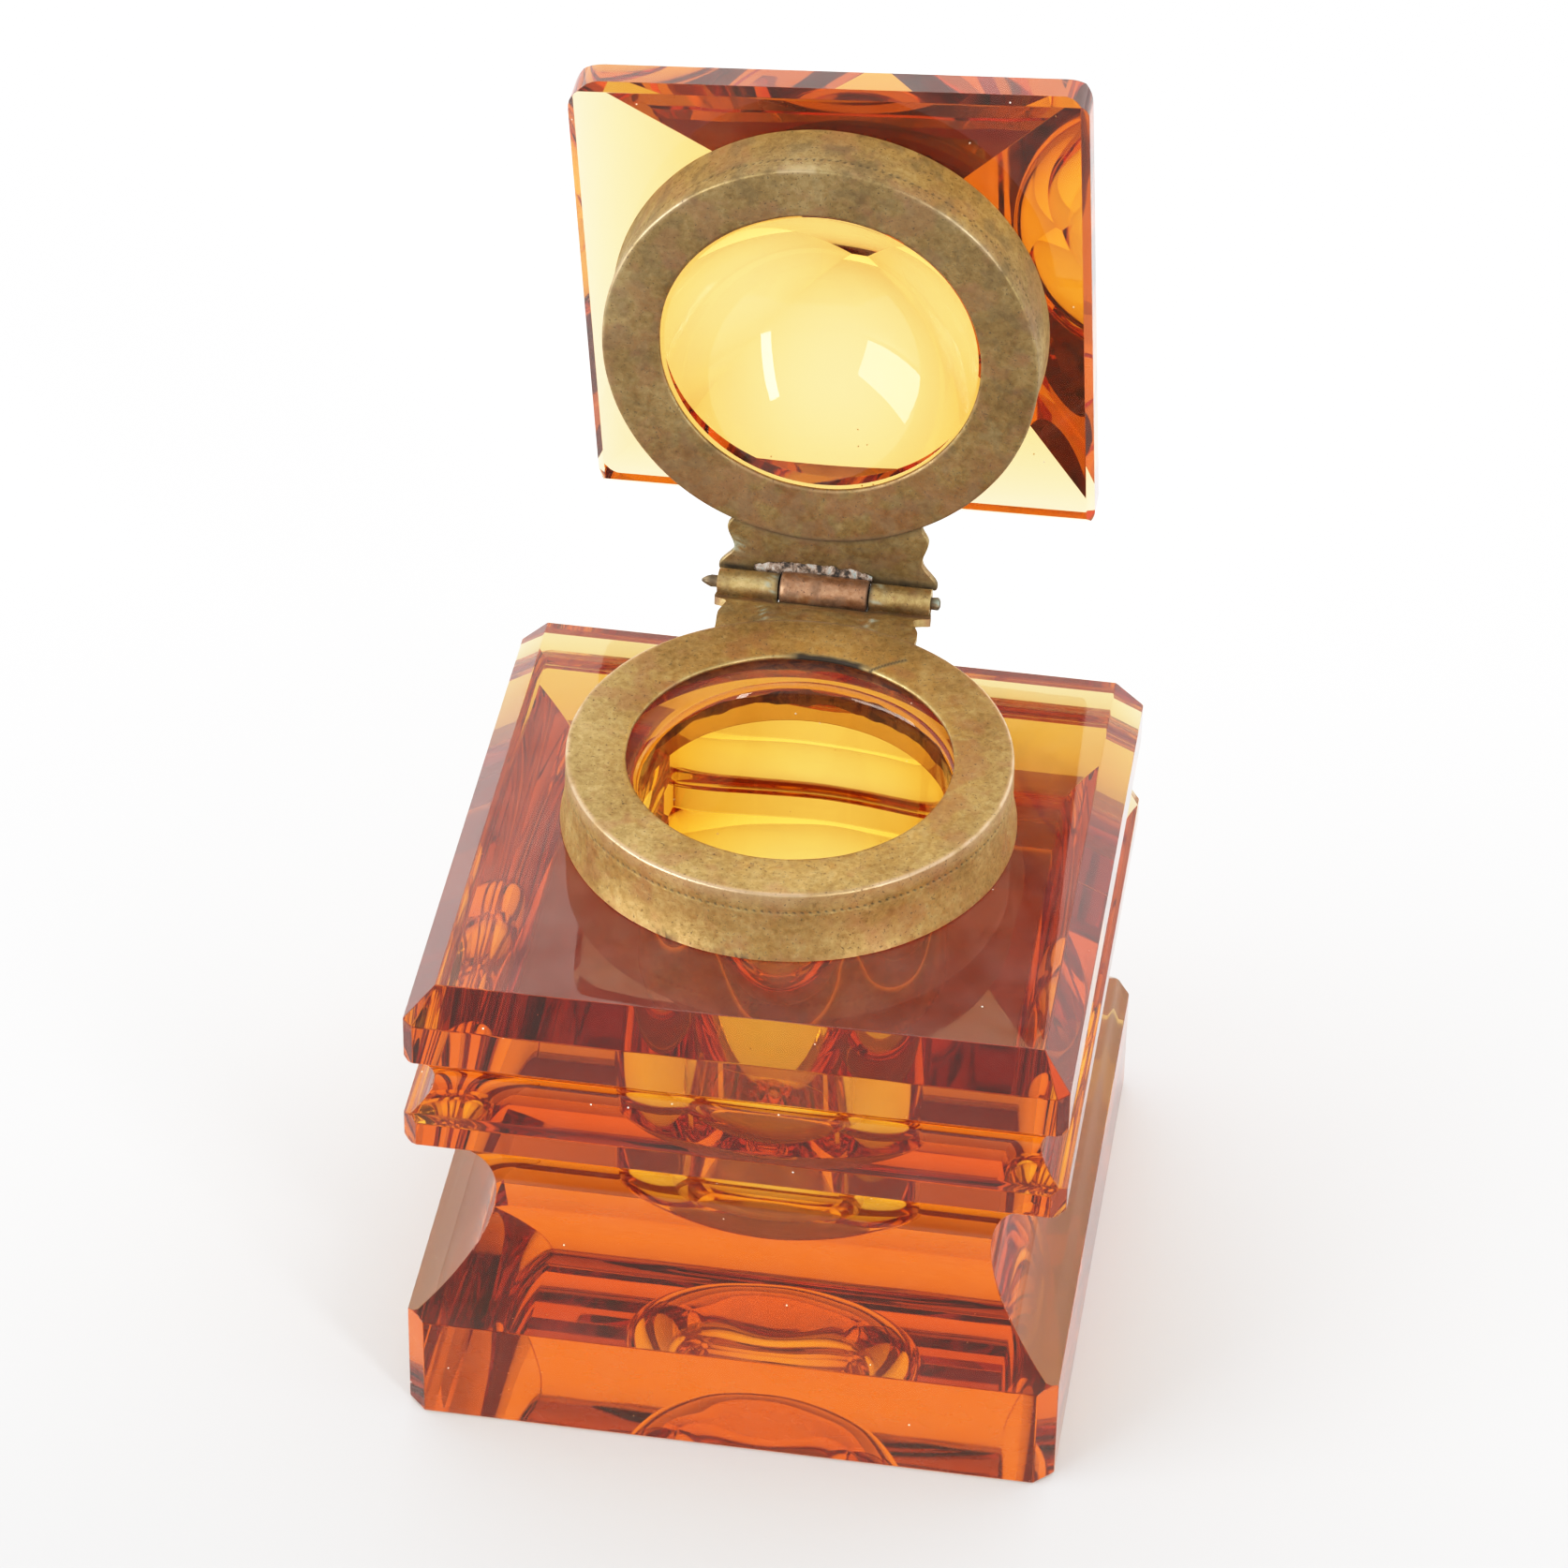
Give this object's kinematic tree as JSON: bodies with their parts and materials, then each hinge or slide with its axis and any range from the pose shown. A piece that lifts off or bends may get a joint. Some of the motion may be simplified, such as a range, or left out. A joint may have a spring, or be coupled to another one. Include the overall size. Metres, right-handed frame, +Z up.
{
  "type": "inkwell",
  "caption": "Square cut-glass inkwell with coved sides, a round well, brass collars and a hinged pyramid-topped glass lid, shown open.",
  "frame": {"origin": "centre of the square underside of the glass body, on the surface that it stands on", "axes": "+Z up, the front face towards -Y, the hinge at the back (+Y), +X to the right seen from the front"},
  "size_m": [0.05, 0.07, 0.0885],
  "materials": {
    "amber_glass": "polished cut glass",
    "cement": "rough plaster cement",
    "aged_brass": "aged satin",
    "pin_brass": "tarnished",
    "copper": "aged copper-coloured brass",
    "solder": "dull soft solder"
  },
  "bodies": {
    "root": {"glass_body": "amber_glass", "well_cement": "cement", "well_collar": "aged_brass", "well_leaf": "aged_brass", "well_leaf_solder": "solder", "hinge_pin": "pin_brass"},
    "lid": {"lid_glass": "amber_glass", "lid_cement": "cement", "lid_collar": "aged_brass", "lid_leaf": "aged_brass", "lid_leaf_solder": "solder", "middle_knuckle": "copper", "knuckle_solder": "solder"}
  },
  "joints": [
    {"name": "lid_hinge", "type": "hinge", "parent": "root", "child": "lid", "pos_m": [-0.0006, 0.02285, 0.04625], "axis": [1, 0, 0], "range_deg": [0, 91]}
  ]
}
